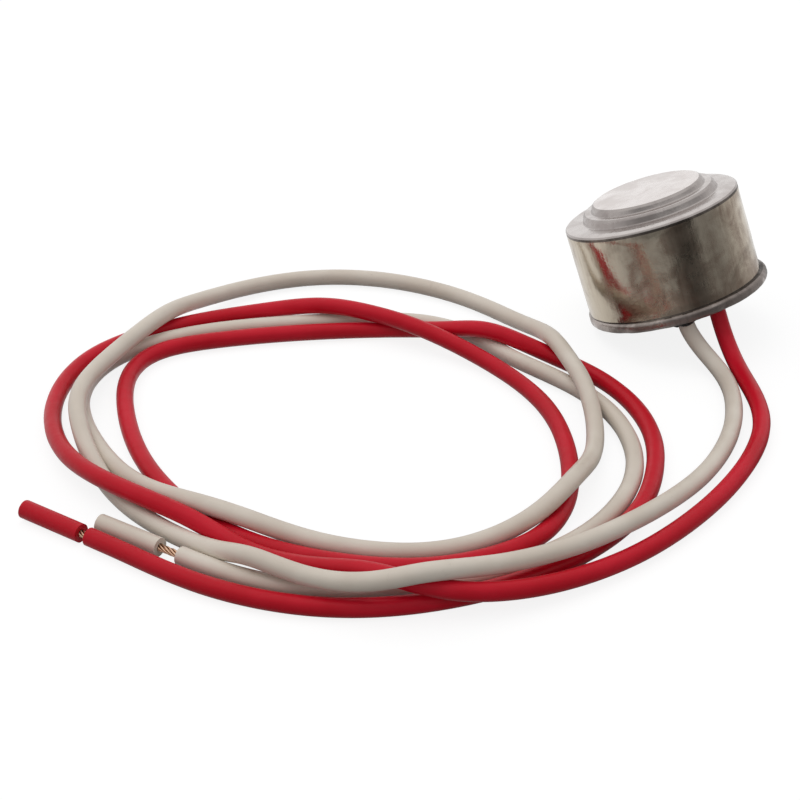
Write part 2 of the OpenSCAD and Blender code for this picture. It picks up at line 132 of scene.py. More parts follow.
# Shorthand for building node trees
class Tree:
    def __init__(self, tree):
        self.tree = tree
        self.nodes = tree.nodes

    def add(self, kind, **values):
        node = self.nodes.new(kind)
        for key, value in values.items():
            setattr(node, key, value)
        return node

    def link(self, a, b):
        self.tree.links.new(a, b)

    def put(self, socket, value):
        if isinstance(value, bpy.types.NodeSocket):
            self.link(value, socket)
        else:
            socket.default_value = value

    def math(self, how, a, b=0.0, clamp=False):
        node = self.add("ShaderNodeMath", operation=how, use_clamp=clamp)
        self.put(node.inputs[0], a)
        self.put(node.inputs[1], b)
        return node.outputs[0]

    # adds up values, each times its weight
    def weigh(self, *parts):
        total = None
        for value, weight in parts:
            part = value if weight == 1 else self.math("MULTIPLY", value, weight)
            total = part if total is None else self.math("ADD", total, part)
        return total

    def noise(self, vector, scale, detail=3.0, rough=0.55, distortion=0.0):
        node = self.add("ShaderNodeTexNoise")
        self.put(node.inputs["Vector"], vector)
        self.put(node.inputs["Scale"], scale)
        node.inputs["Detail"].default_value = detail
        node.inputs["Roughness"].default_value = rough
        node.inputs["Distortion"].default_value = distortion
        return node.outputs["Fac"]

    def ramp(self, value, low, high, toLow=0.0, toHigh=1.0):
        node = self.add("ShaderNodeMapRange")
        node.interpolation_type = "SMOOTHSTEP"
        self.put(node.inputs["Value"], value)
        self.put(node.inputs["From Min"], low)
        self.put(node.inputs["From Max"], high)
        self.put(node.inputs["To Min"], toLow)
        self.put(node.inputs["To Max"], toHigh)
        return node.outputs["Result"]

    def blend(self, share, a, b):
        node = self.add("ShaderNodeMix", data_type="RGBA")
        self.put(node.inputs[0], share)
        self.put(node.inputs[6], a)
        self.put(node.inputs[7], b)
        return node.outputs[2]

    def vector(self, how, a, b=(0, 0, 0)):
        node = self.add("ShaderNodeVectorMath", operation=how)
        self.put(node.inputs[0], a)
        self.put(node.inputs[1], b)
        return node.outputs["Value"] if how == "DOT_PRODUCT" else node.outputs["Vector"]

    def height(self, vector):
        node = self.add("ShaderNodeSeparateXYZ")
        self.put(node.inputs[0], vector)
        return node.outputs["Z"]

    def bump(self, height, strength, distance):
        node = self.add("ShaderNodeBump")
        self.put(node.inputs["Height"], height)
        self.put(node.inputs["Strength"], strength)
        self.put(node.inputs["Distance"], distance)
        return node.outputs["Normal"]


def newGroup(name, inputs, outputs):
    group = bpy.data.node_groups.new(name, "ShaderNodeTree")
    for label, kind, value in inputs:
        socket = group.interface.new_socket(name=label, in_out="INPUT", socket_type=kind)
        if value is not None:
            socket.default_value = value
    for label, kind in outputs:
        group.interface.new_socket(name=label, in_out="OUTPUT", socket_type=kind)
    tree = Tree(group)
    return group, tree, tree.add("NodeGroupInput"), tree.add("NodeGroupOutput")


def emptyTree(owner):
    owner.use_nodes = True
    tree = Tree(owner.node_tree)
    tree.nodes.clear()
    return tree


def rgba(r, g, b):
    return (r, g, b, 1.0)


white = rgba(1, 1, 1)


# How bright the studio looks in metal, by the way that a ray goes
def roomShadeGroup():
    group, t, ins, outs = newGroup("roomShade", [("Way", vectorKind, None)], [("Bright", floatKind)])
    way = ins.outputs["Way"]
    level = t.vector("NORMALIZE", t.vector("MULTIPLY", way, (1, 1, 0)))
    toDim = t.vector("DOT_PRODUCT", level, studio["dimSide"])
    toFlag = t.vector("DOT_PRODUCT", level, studio["flagSide"])
    dim = t.ramp(toDim, *studio["dimEdge"], 1.0, studio["dimTo"])
    flag = t.ramp(toFlag, *studio["flagEdge"], 1.0, studio["flagTo"])
    high = t.ramp(t.height(t.vector("NORMALIZE", way)), *studio["highEdge"])
    low = t.math("MULTIPLY", t.math("MULTIPLY", dim, flag), t.math("SUBTRACT", 1.0, high))
    t.link(t.math("ADD", low, high), outs.inputs["Bright"])
    return group


roomShade = roomShadeGroup()


# White for the camera, shaded for rays that metal sends out, nothing for the rest
def seenBrightness(t, way):
    rays = t.add("ShaderNodeLightPath")
    shade = t.add("ShaderNodeGroup", node_tree=roomShade)
    t.link(way, shade.inputs["Way"])
    mirrored = t.math("MAXIMUM", rays.outputs["Is Glossy Ray"], rays.outputs["Is Transmission Ray"])
    inMetal = t.math("MULTIPLY", mirrored, shade.outputs["Bright"])
    seen = t.math("MAXIMUM", rays.outputs["Is Camera Ray"], mirrored)
    return t.math("MAXIMUM", rays.outputs["Is Camera Ray"], inMetal), seen


def studioWorld():
    world = bpy.data.worlds.new("studioWorld")
    scene.world = world
    t = emptyTree(world)
    bright, seen = seenBrightness(t, t.add("ShaderNodeTexCoord").outputs["Generated"])
    lit = t.add("ShaderNodeBackground")
    shown = t.add("ShaderNodeBackground")
    mix = t.add("ShaderNodeMixShader")
    lit.inputs["Strength"].default_value = studio["worldLight"]
    t.link(bright, shown.inputs["Strength"])
    t.link(seen, mix.inputs[0])
    for source, place in ((lit, 1), (shown, 2)):
        source.inputs["Color"].default_value = white
        t.link(source.outputs[0], mix.inputs[place])
    t.link(mix.outputs[0], t.add("ShaderNodeOutputWorld").inputs["Surface"])


def floorMaterial():
    mat = bpy.data.materials.new("paleFloor")
    t = emptyTree(mat)
    matt = t.add("ShaderNodeBsdfDiffuse")
    glow = t.add("ShaderNodeEmission")
    both = t.add("ShaderNodeAddShader")
    shade = studio["floorShade"]
    matt.inputs["Color"].default_value = rgba(shade, shade, shade)
    glow.inputs["Color"].default_value = white
    bright, seen = seenBrightness(t, t.add("ShaderNodeTexCoord").outputs["Object"])
    t.link(t.math("MULTIPLY", bright, studio["floorGlow"]), glow.inputs["Strength"])
    t.link(matt.outputs[0], both.inputs[0])
    t.link(glow.outputs[0], both.inputs[1])
    t.link(both.outputs[0], t.add("ShaderNodeOutputMaterial").inputs["Surface"])
    return mat


studioWorld()
deselectAll()
bpy.ops.mesh.primitive_plane_add(size=studio["floorSize"], location=(0, 0, -studio["floorGap"]))
floor = bpy.context.object
floor.name = "studioFloor"
floor.data.materials.append(floorMaterial())
print("stage ready")


# All lengths and radii of the can are in millimetres, heights count from the open rim
canParts = {
    "height": 20.0,
    "wallRadius": 14.9,
    "sheet": 0.5,
    "lipRadius": 15.55,
    "lipHeight": 1.5,
    "lipSlope": 0.25,                # from the lip's upper edge up to the foot of the wall
    "shoulderHeight": 17.3,
    "ringHeight": 18.7,
    "ringRadius": 11.6,
    "faceRadius": 9.8,
    "faceDrop": 0.15,                # the face gave way a little when it was struck
    "stepLean": 0.35,
    "shoulderRound": (1.6, 0.57),    # how far the rounding reaches in from the wall, and down
    "shoulderSteps": 6,
    "creaseDrop": 0.62,              # from the shoulder down to the crease under it
    "creaseDepth": 0.14,
    "creaseWidth": 0.38,
    "edgeRound": (0.5, 4),           # how wide a rounding is and its steps: on the outer edges,
    "cornerRound": (0.22, 3),        # in the corners at the foot of a step,
    "footRound": (0.15, 2),          # at the foot of the wall
    "lipRound": (0.45, 4),           # and on the lip's upper edge
    "lipShift": (0.34, -0.08, 0),    # the lip was rolled off centre
    "lipStart": 0.1,                 # the lip is what stands further out from the wall than this
    "outerShare": 0.995,             # outside is what lies beyond this share of the wall's radius
    "sides": 160,
    "wallSteps": 10,
    "dent": 0.12,                    # depth of the uneven places
    "dentSize": 9.0,
    "dentHeights": (2.2, 16.2),      # the wall is dented between these
    "lipWave": 0.16,
    "lipWaveSize": 2.6,
    "lipWaveTop": 0.2,
    "pressLevel": 0.55,
    "smoothAngle": 50,
}
canAxis = Vector(mounts["sensing_face"]["axis"]).normalized()
canBase = Vector(mounts["sensing_face"]["pos_m"]) - canAxis * canParts["height"] * mm
canTurn = Vector((0, 0, 1)).rotation_difference(canAxis)
canFrame = Matrix.Translation(canBase) @ canTurn.to_matrix().to_4x4()


def inCan(x, y, z):
    return canFrame @ Vector((x * mm, y * mm, z * mm))


def setInCan(obj):
    makeActive(obj)
    obj.matrix_world = canFrame @ obj.matrix_world
    applyPlace()


# A noise is given by its scale, detail, roughness and distortion, an edge by where it starts and ends
sheetLook = {
    "cloud": (210.0, 4.0, 0.62, 0.4),
    "wide": (48.0, 2.0, 0.5, 0.2),
    "runs": (620.0, 3.0, 0.6),
    "runStretch": (1, 1, 0.12),
    "fine": (1900.0, 2.0, 0.6),
    "lines": (2600.0, 2.0, 0.6),
    "lineStretch": (1, 1, 0.05),
    "spots": (420.0, 4.0, 0.7, 0.8),
    "patch": (95.0, 3.0, 0.6, 1.2),
    "smudgeEdge": (0.40, 0.62),
    "streakEdge": (0.42, 0.66),
    "spotEdge": (0.60, 0.74),
    "patchEdge": (0.52, 0.70),
    "wornEdge": (0.15, 0.85),
    "relief": 0.0002,
}


# Handled sheet metal: cloudy tarnish, runs along the can, fine grain and scratches
def handledSheetGroup():
    group, t, ins, outs = newGroup("handledSheet", [
        ("Place", vectorKind, None),
        ("Clean", colorKind, rgba(0.7, 0.68, 0.64)),
        ("Tarnish", colorKind, rgba(0.4, 0.36, 0.3)),
        ("Dirt", colorKind, rgba(0.1, 0.09, 0.08)),
        ("Cloudiness", floatKind, 0.6),
        ("Dirtiness", floatKind, 0.3),
        ("Smooth", floatKind, 0.25),
        ("Rough", floatKind, 0.45),
        ("Grain", floatKind, 0.3),
    ], [("Color", colorKind), ("Roughness", floatKind), ("Normal", vectorKind)])
    look, given = sheetLook, ins.outputs
    place = given["Place"]
    cloud = t.noise(place, *look["cloud"])
    wide = t.noise(place, *look["wide"])
    runs = t.noise(t.vector("MULTIPLY", place, look["runStretch"]), *look["runs"])
    fine = t.noise(place, *look["fine"])
    lines = t.noise(t.vector("MULTIPLY", place, look["lineStretch"]), *look["lines"])
    smudge = t.ramp(t.weigh((cloud, 0.6), (wide, 0.4)), *look["smudgeEdge"])
    streak = t.ramp(runs, *look["streakEdge"])
    clouded = t.weigh((smudge, 0.75), (streak, 0.25))
    tarnished = t.math("MULTIPLY", clouded, given["Cloudiness"], clamp=True)
    base = t.blend(tarnished, given["Clean"], given["Tarnish"])
    spots = t.ramp(t.noise(place, *look["spots"]), *look["spotEdge"])
    patch = t.ramp(t.noise(place, *look["patch"]), *look["patchEdge"])
    dirt = t.math("MULTIPLY", t.weigh((spots, 0.5), (patch, 0.8)), given["Dirtiness"], clamp=True)
    t.link(t.blend(dirt, base, given["Dirt"]), outs.inputs["Color"])
    worn = t.weigh((smudge, 0.6), (fine, 0.4))
    t.link(t.ramp(worn, *look["wornEdge"], given["Smooth"], given["Rough"]), outs.inputs["Roughness"])
    height = t.weigh((lines, 0.5), (fine, 0.35), (cloud, 1.6))
    t.link(t.bump(height, given["Grain"], look["relief"]), outs.inputs["Normal"])
    return group


skinLook = {
    "slow": (70.0, 3.0, 0.55),
    "quick": (700.0, 4.0, 0.6),
    "rubbed": (330.0, 5.0, 0.7, 1.5),
    "lumps": (480.0, 2.0, 0.5),
    "bloomEdge": (0.38, 0.66),
    "rubbedEdge": (0.62, 0.78),
    "wornEdge": (0.3, 0.7),
    "roughness": (0.30, 0.46),
    "relief": 0.0003,
}


# Extruded insulation: faint mottling, a waxy bloom, handling marks and tiny lumps
def wireSkinGroup():
    group, t, ins, outs = newGroup("wireSkin", [
        ("Place", vectorKind, None),
        ("Body", colorKind, rgba(0.7, 0.7, 0.7)),
        ("Bloom", colorKind, rgba(0.8, 0.8, 0.8)),
        ("Marks", colorKind, rgba(0.3, 0.3, 0.3)),
        ("Mottle", floatKind, 0.4),
        ("Marking", floatKind, 0.2),
        ("Lumps", floatKind, 0.15),
    ], [("Color", colorKind), ("Roughness", floatKind), ("Normal", vectorKind)])
    look, given = skinLook, ins.outputs
    place = given["Place"]
    slow = t.noise(place, *look["slow"])
    quick = t.noise(place, *look["quick"])
    bloom = t.math("MULTIPLY", t.ramp(slow, *look["bloomEdge"]), given["Mottle"], clamp=True)
    base = t.blend(bloom, given["Body"], given["Bloom"])
    rubbed = t.ramp(t.noise(place, *look["rubbed"]), *look["rubbedEdge"])
    marked = t.math("MULTIPLY", rubbed, given["Marking"], clamp=True)
    t.link(t.blend(marked, base, given["Marks"]), outs.inputs["Color"])
    worn = t.weigh((slow, 0.5), (quick, 0.5))
    t.link(t.ramp(worn, *look["wornEdge"], *look["roughness"]), outs.inputs["Roughness"])
    height = t.weigh((t.noise(place, *look["lumps"]), 1), (quick, 0.35))
    t.link(t.bump(height, given["Lumps"], look["relief"]), outs.inputs["Normal"])
    return group


workedLook = {
    "coarse": (4.0, 0.6, 0.3),     # the scale of these two is the material's own
    "fine": (3.0, 0.6),
    "fineScale": 5.0,              # how many times finer the second noise is
    "shadeEdge": (0.36, 0.66),
    "wornEdge": (0.3, 0.7),
    "relief": 0.0002,
}


# Plain worked surface for moulded, cast and stamped pieces
def workedGroup():
    group, t, ins, outs = newGroup("workedSurface", [
        ("Place", vectorKind, None),
        ("Body", colorKind, rgba(0.5, 0.5, 0.5)),
        ("Shade", colorKind, rgba(0.3, 0.3, 0.3)),
        ("Scale", floatKind, 400.0),
        ("Amount", floatKind, 0.5),
        ("Smooth", floatKind, 0.2),
        ("Rough", floatKind, 0.5),
        ("Relief", floatKind, 0.2),
    ], [("Color", colorKind), ("Roughness", floatKind), ("Normal", vectorKind)])
    look, given = workedLook, ins.outputs
    place = given["Place"]
    coarse = t.noise(place, given["Scale"], *look["coarse"])
    fine = t.noise(place, t.math("MULTIPLY", given["Scale"], look["fineScale"]), *look["fine"])
    share = t.math("MULTIPLY", t.ramp(coarse, *look["shadeEdge"]), given["Amount"], clamp=True)
    t.link(t.blend(share, given["Body"], given["Shade"]), outs.inputs["Color"])
    worn = t.weigh((coarse, 0.6), (fine, 0.4))
    t.link(t.ramp(worn, *look["wornEdge"], given["Smooth"], given["Rough"]), outs.inputs["Roughness"])
    height = t.weigh((coarse, 1), (fine, 0.4))
    t.link(t.bump(height, given["Relief"], look["relief"]), outs.inputs["Normal"])
    return group


groups = {"sheet": handledSheetGroup(), "skin": wireSkinGroup(), "worked": workedGroup()}
metal = {"Metallic": 1.0}


def groupMaterial(name, groupName, values, shader, local=False):
    mat = bpy.data.materials.new(name)
    t = emptyTree(mat)
    end = t.add("ShaderNodeOutputMaterial")
    surface = t.add("ShaderNodeBsdfPrincipled")
    effect = t.add("ShaderNodeGroup", node_tree=groups[groupName])
    vector = t.add("ShaderNodeTexCoord").outputs["Object"]
    if local:                        # the can's own frame, so that runs follow its axis
        turn = t.add("ShaderNodeMapping", vector_type="TEXTURE")
        turn.inputs["Location"].default_value = canBase
        turn.inputs["Rotation"].default_value = canTurn.to_euler()
        t.link(vector, turn.inputs["Vector"])
        vector = turn.outputs["Vector"]
    t.link(vector, effect.inputs["Place"])
    for label, value in values.items():
        effect.inputs[label].default_value = value
    for label, value in shader.items():
        surface.inputs[label].default_value = value
    t.link(effect.outputs["Color"], surface.inputs["Base Color"])
    t.link(effect.outputs["Roughness"], surface.inputs["Roughness"])
    t.link(effect.outputs["Normal"], surface.inputs["Normal"])
    t.link(surface.outputs[0], end.inputs["Surface"])
    return mat


finishes = {
    "tinWall": groupMaterial("tinWall", "sheet", {
        "Clean": rgba(0.49, 0.43, 0.345), "Tarnish": rgba(0.25, 0.188, 0.145),
        "Dirt": rgba(0.06, 0.044, 0.03), "Cloudiness": 1.0, "Dirtiness": 0.4,
        "Smooth": 0.14, "Rough": 0.34, "Grain": 0.16,
    }, metal, local=True),
    "tinEnd": groupMaterial("tinEnd", "sheet", {
        "Clean": rgba(0.78, 0.73, 0.71), "Tarnish": rgba(0.60, 0.54, 0.52),
        "Dirt": rgba(0.25, 0.22, 0.2), "Cloudiness": 0.55, "Dirtiness": 0.08,
        "Smooth": 0.20, "Rough": 0.38, "Grain": 0.08,
    }, metal, local=True),
    "tinLedge": groupMaterial("tinLedge", "sheet", {
        "Clean": rgba(0.62, 0.58, 0.56), "Tarnish": rgba(0.48, 0.43, 0.415),
        "Dirt": rgba(0.2, 0.17, 0.155), "Cloudiness": 0.6, "Dirtiness": 0.12,
        "Smooth": 0.20, "Rough": 0.38, "Grain": 0.14,
    }, metal, local=True),
    # painted shade: the slanted steps and the shoulder's rounding, a darker copy of the end's tin
    "tinStepShade": groupMaterial("tinStepShade", "sheet", {
        "Clean": rgba(0.40, 0.365, 0.35), "Tarnish": rgba(0.28, 0.245, 0.235),
        "Dirt": rgba(0.14, 0.12, 0.11), "Cloudiness": 0.7, "Dirtiness": 0.15,
        "Smooth": 0.20, "Rough": 0.38, "Grain": 0.16,
    }, metal, local=True),
    # painted shade: the dark line in the crease under the shoulder and at the wall's foot, with dirt
    # spots mixed in
    "tinCreaseShade": groupMaterial("tinCreaseShade", "sheet", {
        "Clean": rgba(0.17, 0.145, 0.128), "Tarnish": rgba(0.07, 0.058, 0.05),
        "Dirt": rgba(0.02, 0.017, 0.015), "Cloudiness": 1.0, "Dirtiness": 0.8,
        "Smooth": 0.28, "Rough": 0.5, "Grain": 0.4,
    }, metal, local=True),
    "tinLip": groupMaterial("tinLip", "sheet", {
        "Clean": rgba(0.40, 0.35, 0.325), "Tarnish": rgba(0.19, 0.16, 0.145),
        "Dirt": rgba(0.035, 0.03, 0.026), "Cloudiness": 1.0, "Dirtiness": 0.7,
        "Smooth": 0.25, "Rough": 0.48, "Grain": 0.4,
    }, metal, local=True),
    "whiteSkin": groupMaterial("whiteSkin", "skin", {
        "Body": rgba(0.66, 0.58, 0.495), "Bloom": rgba(0.76, 0.695, 0.61),
        "Marks": rgba(0.42, 0.33, 0.28), "Mottle": 0.8, "Marking": 0.25, "Lumps": 0.14,
    }, {"Specular IOR Level": 0.4}),
    "redSkin": groupMaterial("redSkin", "skin", {
        "Body": rgba(0.52, 0.002, 0.014), "Bloom": rgba(0.63, 0.009, 0.028),
        "Marks": rgba(0.22, 0.002, 0.008), "Mottle": 0.8, "Marking": 0.3, "Lumps": 0.14,
    }, {"Specular IOR Level": 0.2}),
    "copper": groupMaterial("copper", "worked", {
        "Body": rgba(0.84, 0.58, 0.40), "Shade": rgba(0.52, 0.33, 0.22), "Scale": 900.0, "Amount": 0.6,
        "Smooth": 0.22, "Rough": 0.42, "Relief": 0.15,
    }, metal),
    "resin": groupMaterial("resin", "worked", {
        "Body": rgba(0.008, 0.008, 0.008), "Shade": rgba(0.02, 0.018, 0.016),
        "Scale": 260.0, "Amount": 0.7, "Smooth": 0.22, "Rough": 0.45, "Relief": 0.35,
    }, {"Specular IOR Level": 0.3}, local=True),
    "cupAluminium": groupMaterial("cupAluminium", "sheet", {
        "Clean": rgba(0.84, 0.85, 0.86), "Tarnish": rgba(0.66, 0.67, 0.68),
        "Dirt": rgba(0.3, 0.3, 0.3), "Cloudiness": 0.4, "Dirtiness": 0.05,
        "Smooth": 0.22, "Rough": 0.36, "Grain": 0.2,
    }, metal, local=True),
    "snapMetal": groupMaterial("snapMetal", "worked", {
        "Body": rgba(0.68, 0.58, 0.40), "Shade": rgba(0.50, 0.42, 0.30), "Scale": 700.0, "Amount": 0.5,
        "Smooth": 0.25, "Rough": 0.40, "Relief": 0.1,
    }, metal),
    "paleMoulding": groupMaterial("paleMoulding", "worked", {
        "Body": rgba(0.70, 0.63, 0.47), "Shade": rgba(0.58, 0.51, 0.36), "Scale": 500.0, "Amount": 0.5,
        "Smooth": 0.42, "Rough": 0.62, "Relief": 0.15,
    }, {}),
    "darkMoulding": groupMaterial("darkMoulding", "worked", {
        "Body": rgba(0.045, 0.022, 0.015), "Shade": rgba(0.022, 0.012, 0.009),
        "Scale": 600.0, "Amount": 0.6, "Smooth": 0.35, "Rough": 0.6, "Relief": 0.2,
    }, {}),
    "ceramic": groupMaterial("ceramic", "worked", {
        "Body": rgba(0.84, 0.82, 0.76), "Shade": rgba(0.76, 0.73, 0.66), "Scale": 1200.0, "Amount": 0.3,
        "Smooth": 0.18, "Rough": 0.30, "Relief": 0.06,
    }, {}),
    "springStrip": groupMaterial("springStrip", "worked", {
        "Body": rgba(0.76, 0.46, 0.26), "Shade": rgba(0.58, 0.34, 0.2), "Scale": 1000.0, "Amount": 0.5,
        "Smooth": 0.20, "Rough": 0.34, "Relief": 0.08,
    }, metal),
    "contactSilver": groupMaterial("contactSilver", "worked", {
        "Body": rgba(0.90, 0.89, 0.86), "Shade": rgba(0.62, 0.60, 0.56), "Scale": 1600.0, "Amount": 0.4,
        "Smooth": 0.12, "Rough": 0.30, "Relief": 0.08,
    }, metal),
    "terminalBrass": groupMaterial("terminalBrass", "worked", {
        "Body": rgba(0.80, 0.60, 0.26), "Shade": rgba(0.60, 0.43, 0.18), "Scale": 900.0, "Amount": 0.5,
        "Smooth": 0.18, "Rough": 0.36, "Relief": 0.1,
    }, metal),
    "tinnedJoint": groupMaterial("tinnedJoint", "worked", {
        "Body": rgba(0.72, 0.71, 0.67), "Shade": rgba(0.50, 0.49, 0.46), "Scale": 800.0, "Amount": 0.6,
        "Smooth": 0.22, "Rough": 0.45, "Relief": 0.2,
    }, metal),
}

nodeFinish = {
    "can": "tinWall", "potting": "resin",
    "sensing_cup": "cupAluminium", "bimetal_disc": "snapMetal", "pin_guide": "paleMoulding",
    "transfer_pin": "ceramic", "switch_body": "darkMoulding", "contact_arm": "springStrip",
    "moving_contact": "contactSilver", "fixed_contact": "contactSilver",
    "line_terminal": "terminalBrass", "load_terminal": "terminalBrass", "line_rivet": "terminalBrass",
    "white_splice": "tinnedJoint", "white_core": "copper",
    "red_splice": "tinnedJoint", "red_core": "copper",
    "white_lead": "whiteSkin", "white_strands": "copper", "white_slug": "whiteSkin",
    "red_lead": "redSkin", "red_strands": "copper", "red_slug": "redSkin",
}


def coverWith(obj, *names):
    obj.data.materials.clear()
    for name in names:
        obj.data.materials.append(finishes[name])


for nodeName, finishName in nodeFinish.items():
    coverWith(nodes[nodeName], finishName)
print("materials ready:", len(finishes))


# Lengths in millimetres
leadParts = {
    "diameter": 2.8,
    "steps": 12,
    "roundness": 6,
    "straight": 2.0,        # how far a lead goes on straight under the can
    "inside": 5.0,          # how far its insulation reaches into the resin
    "bare": {"white": 3.7, "red": 1.5},
    # how far from the can's axis a lead comes out, and how far round, in degrees
    "exit": {"white": (12.2, 0), "red": (11.2, 30)},
}

# Routes on the floor, in millimetres: x, y and the height of the lead's middle
routes = {
    "red": [
        (8.8, -12.7, 5.1), (9.8, -15.8, 2.9), (10.8, -20.4, 1.7), (12.1, -27, 1.4), (12.3, -35, 1.4),
        (9.4, -44.5, 1.4), (2, -57.2, 1.4), (-9.6, -70, 1.5), (-20.5, -77.4, 2), (-29.5, -81.6, 3),
        (-37.5, -83.8, 4.4), (-44, -81.6, 4.7), (-50, -78.5, 4.6), (-57, -76, 2.8), (-66, -71.3, 1.4),
        (-73.3, -65.8, 3.3), (-80, -62.4, 4.5), (-88.5, -57, 4.6), (-97, -46.6, 2.8),
        (-101.3, -31, 1.4), (-98.9, -16.8, 1.4), (-91.5, -8.4, 1.4), (-80.3, -1.9, 1.4),
        (-68.5, 0.6, 2), (-58.5, -1.4, 4.6), (-50, -4.9, 4.6), (-42, -8.6, 4), (-31, -15.3, 1.5),
        (-21.5, -28.5, 1.4), (-19, -43, 1.4), (-19.6, -55, 1.4), (-22.6, -64, 1.4), (-29, -70.4, 1.4),
        (-41, -74.8, 1.4), (-54, -73.2, 1.4), (-66.3, -68.7, 1.4), (-77, -59.3, 1.4), (-85, -46, 1.4),
        (-89, -32, 1.4), (-90.3, -20.5, 1.4), (-86.6, -12.2, 1.4), (-77, -8.8, 1.4), (-62, -6, 1.4),
        (-46, -4.9, 1.4), (-37.5, -7.2, 2.4), (-31, -10.6, 5), (-25, -13, 3.4), (-19.2, -14.8, 1.4),
        (-12.8, -20.8, 1.4), (-8, -28.7, 1.4), (-5.7, -37.5, 1.4), (-5.8, -47, 1.4), (-9.6, -60.9, 1.4),
        (-19.2, -71.2, 1.4), (-28, -77.2, 1.4), (-37, -81, 1.4), (-48, -83.5, 1.4), (-60, -82.9, 1.4),
        (-73, -78.2, 1.4), (-84, -70.2, 1.4), (-89.5, -66.5, 1.4)],
    "white": [
        (4.9, -15.3, 3.2), (8, -19.8, 1.4), (8.8, -27.5, 1.4), (7, -38.5, 1.4), (1.4, -50, 1.4),
        (-6, -60, 3), (-12.2, -67.5, 4.7), (-20, -73.2, 4.7), (-29, -77.6, 5), (-36, -81.2, 6.6),
        (-42, -83.6, 7.8), (-48, -84, 6.3), (-54, -82.2, 4.9), (-60, -79.3, 4.5), (-66, -75.4, 4.8),
        (-70, -72, 2.7), (-74.5, -68.2, 1.4), (-80, -64, 1.4), (-86.8, -57, 1.4), (-92, -47.6, 2.2),
        (-95.4, -38.5, 4.5), (-96.3, -29.8, 4.6), (-93.2, -20.8, 4.4), (-88.5, -12, 4.9),
        (-84.5, -4, 4.7), (-80, 3, 2.8), (-72, 11, 1.4), (-60, 15.2, 1.4), (-46, 13.7, 1.4),
        (-33, 6.6, 1.4), (-25, -2.6, 1.6), (-21.4, -9.6, 3.8), (-19.4, -15, 5.1), (-17.4, -21, 4.4),
        (-15.6, -27.6, 4.4), (-14.5, -34.5, 2.2), (-14.8, -41.5, 1.4), (-16.2, -48, 2.4),
        (-18.6, -54.2, 4.4), (-21.9, -60.4, 4.8), (-26, -64.4, 3.2), (-33, -68, 1.4), (-43, -71.4, 1.4),
        (-57, -68.8, 1.6), (-67, -65.3, 3.9), (-74.5, -62.3, 4.6), (-81.2, -57.7, 3.2),
        (-87.3, -50, 1.4), (-92.7, -41, 1.4), (-97.2, -29, 1.4), (-95.3, -18, 1.4), (-88.4, -10.2, 1.4),
        (-77.5, -5.2, 1.4), (-62, -2.5, 1.4), (-48.5, -1.7, 1.4), (-40.5, -2.2, 1.4),
        (-32.5, -6.7, 1.4), (-27.4, -14.3, 1.4), (-20.8, -20.2, 1.4), (-15, -26.2, 1.4),
        (-10.6, -34, 1.4), (-8.8, -44, 1.4), (-10.2, -53, 1.4), (-14.3, -61.1, 1.4), (-20.2, -68, 1.4),
        (-28.6, -73.6, 1.4), (-36, -76.6, 1.4), (-44, -78, 1.4), (-52, -79, 1.4), (-60, -78.9, 1.4),
        (-69.2, -75.5, 1.4), (-76, -71.1, 1.4)],
}


def exitOf(colour):
    out, turn = leadParts["exit"][colour]
    return out * sin(radians(turn)), -out * cos(radians(turn))


exits = {colour: exitOf(colour) for colour in colours}


def leadPoints(colour):
    x, y = exits[colour]
    start = [inCan(x, y, h) for h in (leadParts["inside"], 0, -leadParts["straight"])]
    return start + [Vector(p) * mm for p in routes[colour]]


# The points pull the line along without being on it, so that it has no kink from one to the next
def layLead(colour):
    points = leadPoints(colour)
    ends = [2 * points[0] - points[1]] + points + [2 * points[-1] - points[-2]]
    lead = bpy.data.curves.new(colour + "Lead", "CURVE")
    lead.dimensions = "3D"
    lead.bevel_depth = leadParts["diameter"] / 2 * mm
    lead.bevel_resolution = leadParts["roundness"]
    lead.resolution_u = leadParts["steps"]
    lead.use_fill_caps = True
    line = lead.splines.new("BEZIER")
    line.bezier_points.add(len(points) - 1)
    for i, knot in enumerate(line.bezier_points):
        before, here, after = ends[i:i + 3]
        knot.handle_left_type = knot.handle_right_type = "FREE"
        knot.co = (before + 4 * here + after) / 6
        knot.handle_left = (2 * here + before) / 3
        knot.handle_right = (2 * here + after) / 3
    obj = bpy.data.objects.new(colour + "LeadWire", lead)
    scene.collection.objects.link(obj)
    lead.materials.append(finishes[colour + "Skin"])
    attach(obj, "housing")
    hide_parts(colour + "_lead")
    return obj


leads = {colour: layLead(colour) for colour in colours}
print("leads laid")


# Puts a piece that was made along +Z onto the end of a lead, so many millimetres past its last point
def setOnTip(obj, colour, along):
    points = leadPoints(colour)
    way = (points[-1] - points[-2]).normalized()
    turn = Vector((0, 0, 1)).rotation_difference(way).to_matrix().to_4x4()
    obj.matrix_world = Matrix.Translation(points[-1] + way * along * mm) @ turn
    applyPlace()


# Presses soft uneven places into a mesh, size and depth in millimetres
def pressClouds(obj, name, size, depth, level=0.5, octaves=2, group=""):
    clouds = bpy.data.textures.new(name, "CLOUDS")
    clouds.noise_scale = size * mm
    clouds.noise_depth = octaves
    press = obj.modifiers.new(name, "DISPLACE")
    press.texture = clouds
    press.texture_coords = "LOCAL"
    press.vertex_group = group
    press.strength = depth * mm
    press.mid_level = level
    bpy.ops.object.modifier_apply(modifier=press.name)


def closeUp():
    bpy.ops.mesh.select_all(action="SELECT")
    bpy.ops.mesh.normals_make_consistent(inside=False)
    bpy.ops.object.mode_set(mode="OBJECT")


# Bundle of fine wires, twisted; lengths in millimetres
strandParts = {
    "bundleRadius": 0.42,
    "wireRadius": 0.155,
    "wires": 6,              # around the one in the middle
    "turnsPerLength": 0.16,
    "overlap": 0.8,          # how far it goes into the lead and into the slug
    "sides": 10,
    "steps": 14,
    "smoothAngle": 40,
}


